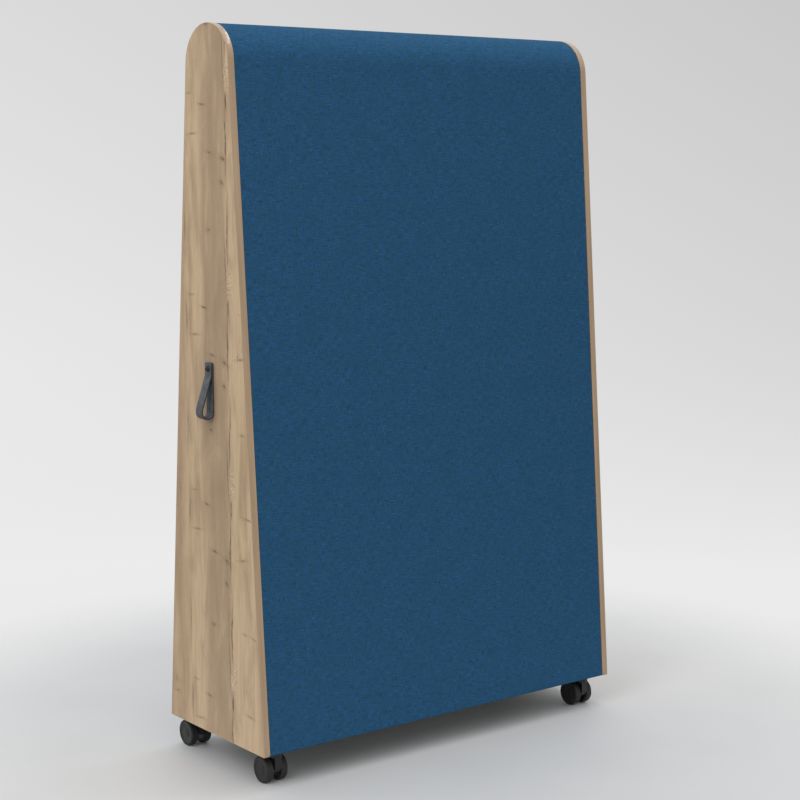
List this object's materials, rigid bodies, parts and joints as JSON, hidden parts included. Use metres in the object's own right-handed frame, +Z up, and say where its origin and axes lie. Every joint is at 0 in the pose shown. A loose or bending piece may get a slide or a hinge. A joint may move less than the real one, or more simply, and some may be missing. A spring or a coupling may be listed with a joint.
{
  "type": "partition wall",
  "caption": "Free-standing mobile partition wall with an upholstered body between tapered round-topped end panels, swivel casters and a leather pull strap.",
  "frame": {"origin": "on the floor, under the middle of the wall's width and of the end panels' depth", "axes": "+X along the width towards the end without the strap, +Y towards the rear, +Z up"},
  "size_m": [1.2372, 0.4735, 1.9218],
  "materials": {
    "oak_board": "satin",
    "oak_edging": "satin",
    "black_board": "matte",
    "raw_timber": "matte",
    "hardboard": "matte",
    "absorber_felt": "matte",
    "foam": "matte",
    "blue_fabric": "matte",
    "strap_leather": "satin",
    "zinc_steel": "satin",
    "black_steel": "satin",
    "brass_insert": "satin",
    "caster_plastic": "satin",
    "caster_tyre": "matte"
  },
  "bodies": {
    "wall": {"left_side_panel": "oak_board", "right_side_panel": "oak_board", "left_edge_band": "oak_edging", "right_edge_band": "oak_edging", "base_board": "black_board", "centre_rib": "raw_timber", "left_front_batten": "raw_timber", "left_rear_batten": "raw_timber", "right_front_batten": "raw_timber", "right_rear_batten": "raw_timber", "top_former": "hardboard", "front_skin": "hardboard", "rear_skin": "hardboard", "front_absorber_mats": "absorber_felt", "rear_absorber_mats": "absorber_felt", "foam_wrap": "foam", "fabric_cover": "blue_fabric", "cover_staples": "zinc_steel", "base_dowels": "raw_timber", "cam_housings": "zinc_steel", "cam_bolts": "zinc_steel", "batten_screws": "zinc_steel", "caster_screws": "zinc_steel", "strap_tab": "strap_leather", "strap_screw": "black_steel", "strap_washer": "black_steel", "strap_insert": "brass_insert", "front_left_plate": "zinc_steel", "front_left_kingpin": "zinc_steel", "front_right_plate": "zinc_steel", "front_right_kingpin": "zinc_steel", "rear_left_plate": "zinc_steel", "rear_left_kingpin": "zinc_steel", "rear_right_plate": "zinc_steel", "rear_right_kingpin": "zinc_steel"},
    "strap": {"strap_loop": "strap_leather"},
    "front_left_caster": {"front_left_hood": "caster_plastic", "front_left_axle": "zinc_steel"},
    "front_left_outer_wheel": {"front_left_outer_hub": "caster_plastic", "front_left_outer_tyre": "caster_tyre"},
    "front_left_inner_wheel": {"front_left_inner_hub": "caster_plastic", "front_left_inner_tyre": "caster_tyre"},
    "front_right_caster": {"front_right_hood": "caster_plastic", "front_right_axle": "zinc_steel"},
    "front_right_outer_wheel": {"front_right_outer_hub": "caster_plastic", "front_right_outer_tyre": "caster_tyre"},
    "front_right_inner_wheel": {"front_right_inner_hub": "caster_plastic", "front_right_inner_tyre": "caster_tyre"},
    "rear_left_caster": {"rear_left_hood": "caster_plastic", "rear_left_axle": "zinc_steel"},
    "rear_left_outer_wheel": {"rear_left_outer_hub": "caster_plastic", "rear_left_outer_tyre": "caster_tyre"},
    "rear_left_inner_wheel": {"rear_left_inner_hub": "caster_plastic", "rear_left_inner_tyre": "caster_tyre"},
    "rear_right_caster": {"rear_right_hood": "caster_plastic", "rear_right_axle": "zinc_steel"},
    "rear_right_outer_wheel": {"rear_right_outer_hub": "caster_plastic", "rear_right_outer_tyre": "caster_tyre"},
    "rear_right_inner_wheel": {"rear_right_inner_hub": "caster_plastic", "rear_right_inner_tyre": "caster_tyre"}
  },
  "joints": [
    {"name": "strap_lift", "type": "hinge", "parent": "wall", "child": "strap", "pos_m": [-0.6044, 0, 1.043], "axis": [0, 1, 0], "range_deg": [0, 75]},
    {"name": "front_left_swivel", "type": "hinge", "parent": "wall", "child": "front_left_caster", "pos_m": [-0.537, -0.186, 0.088], "axis": [0, 0, 1], "continuous": true},
    {"name": "front_left_outer_roll", "type": "hinge", "parent": "front_left_caster", "child": "front_left_outer_wheel", "pos_m": [-0.558, -0.162, 0.035], "axis": [1, 0, 0], "continuous": true},
    {"name": "front_left_inner_roll", "type": "hinge", "parent": "front_left_caster", "child": "front_left_inner_wheel", "pos_m": [-0.516, -0.162, 0.035], "axis": [1, 0, 0], "continuous": true},
    {"name": "front_right_swivel", "type": "hinge", "parent": "wall", "child": "front_right_caster", "pos_m": [0.537, -0.186, 0.088], "axis": [0, 0, 1], "continuous": true},
    {"name": "front_right_outer_roll", "type": "hinge", "parent": "front_right_caster", "child": "front_right_outer_wheel", "pos_m": [0.558, -0.162, 0.035], "axis": [1, 0, 0], "continuous": true},
    {"name": "front_right_inner_roll", "type": "hinge", "parent": "front_right_caster", "child": "front_right_inner_wheel", "pos_m": [0.516, -0.162, 0.035], "axis": [1, 0, 0], "continuous": true},
    {"name": "rear_left_swivel", "type": "hinge", "parent": "wall", "child": "rear_left_caster", "pos_m": [-0.537, 0.186, 0.088], "axis": [0, 0, 1], "continuous": true},
    {"name": "rear_left_outer_roll", "type": "hinge", "parent": "rear_left_caster", "child": "rear_left_outer_wheel", "pos_m": [-0.558, 0.21, 0.035], "axis": [1, 0, 0], "continuous": true},
    {"name": "rear_left_inner_roll", "type": "hinge", "parent": "rear_left_caster", "child": "rear_left_inner_wheel", "pos_m": [-0.516, 0.21, 0.035], "axis": [1, 0, 0], "continuous": true},
    {"name": "rear_right_swivel", "type": "hinge", "parent": "wall", "child": "rear_right_caster", "pos_m": [0.537, 0.186, 0.088], "axis": [0, 0, 1], "continuous": true},
    {"name": "rear_right_outer_roll", "type": "hinge", "parent": "rear_right_caster", "child": "rear_right_outer_wheel", "pos_m": [0.558, 0.21, 0.035], "axis": [1, 0, 0], "continuous": true},
    {"name": "rear_right_inner_roll", "type": "hinge", "parent": "rear_right_caster", "child": "rear_right_inner_wheel", "pos_m": [0.516, 0.21, 0.035], "axis": [1, 0, 0], "continuous": true}
  ]
}
